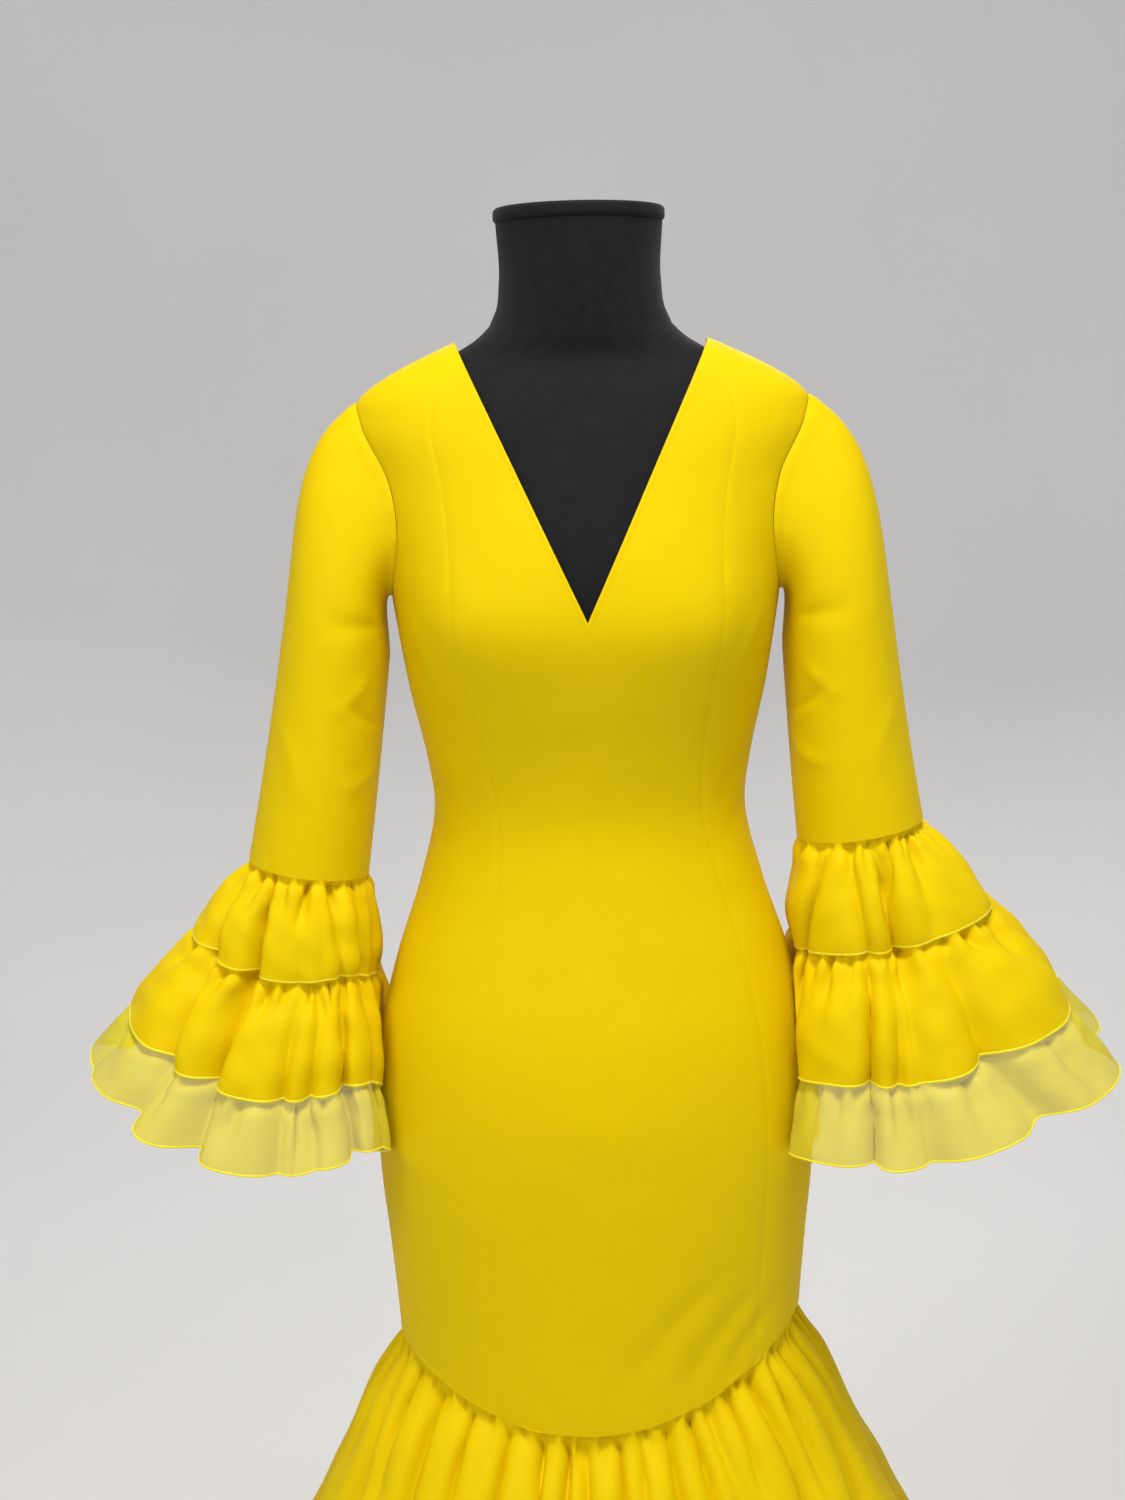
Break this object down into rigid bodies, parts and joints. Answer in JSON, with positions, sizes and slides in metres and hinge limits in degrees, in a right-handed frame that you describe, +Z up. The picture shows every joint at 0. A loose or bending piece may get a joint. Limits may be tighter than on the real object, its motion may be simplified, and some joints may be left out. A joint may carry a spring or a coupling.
{
  "type": "flamenco dress on a dress form",
  "caption": "Fitted yellow flamenco dress with tiered organza-edged cuffs and a gathered flounce, on a headless black dress form with a round stand.",
  "frame": {"origin": "on the floor under the middle of the form, at the centre of the round base's underside", "axes": "+Z up; -Y is the front of the dress; +X is the viewer's right when facing the front"},
  "size_m": [0.8269, 0.7185, 1.5803],
  "materials": {
    "yellow_crepe": "smooth heavy crepe, slight sheen",
    "yellow_organza": "translucent organza with a bright rolled edge",
    "black_jersey": "matte black jersey cover",
    "black_steel": "satin black powder coat",
    "yellow_enamel": "zip slider enamelled to match the cloth"
  },
  "bodies": {
    "dress_and_form": {"panel_front_centre": "yellow_crepe", "panel_front_side_left": "yellow_crepe", "panel_front_side_right": "yellow_crepe", "panel_back_side_left": "yellow_crepe", "panel_back_side_right": "yellow_crepe", "panel_back_centre_left": "yellow_crepe", "panel_back_centre_right": "yellow_crepe", "sleeve_left": "yellow_crepe", "sleeve_right": "yellow_crepe", "cuff_left_tier_1": "yellow_crepe", "cuff_left_tier_2": "yellow_crepe", "cuff_right_tier_1": "yellow_crepe", "cuff_right_tier_2": "yellow_crepe", "flounce_front": "yellow_crepe", "flounce_right": "yellow_crepe", "flounce_back": "yellow_crepe", "flounce_left": "yellow_crepe", "cuff_left_organza": "yellow_organza", "cuff_right_organza": "yellow_organza", "form_torso": "black_jersey", "form_neck_cap": "black_jersey", "stand_socket": "black_steel", "stand_pole": "black_steel", "stand_base": "black_steel", "zip_slider": "yellow_enamel"},
    "zip_tab": {"zip_pull": "yellow_enamel"}
  },
  "joints": [
    {"name": "zip_tab_hinge", "type": "hinge", "parent": "dress_and_form", "child": "zip_tab", "pos_m": [0, 0.07681, 1.43813], "axis": [1, 0, 0], "range_deg": [0, 150]}
  ]
}
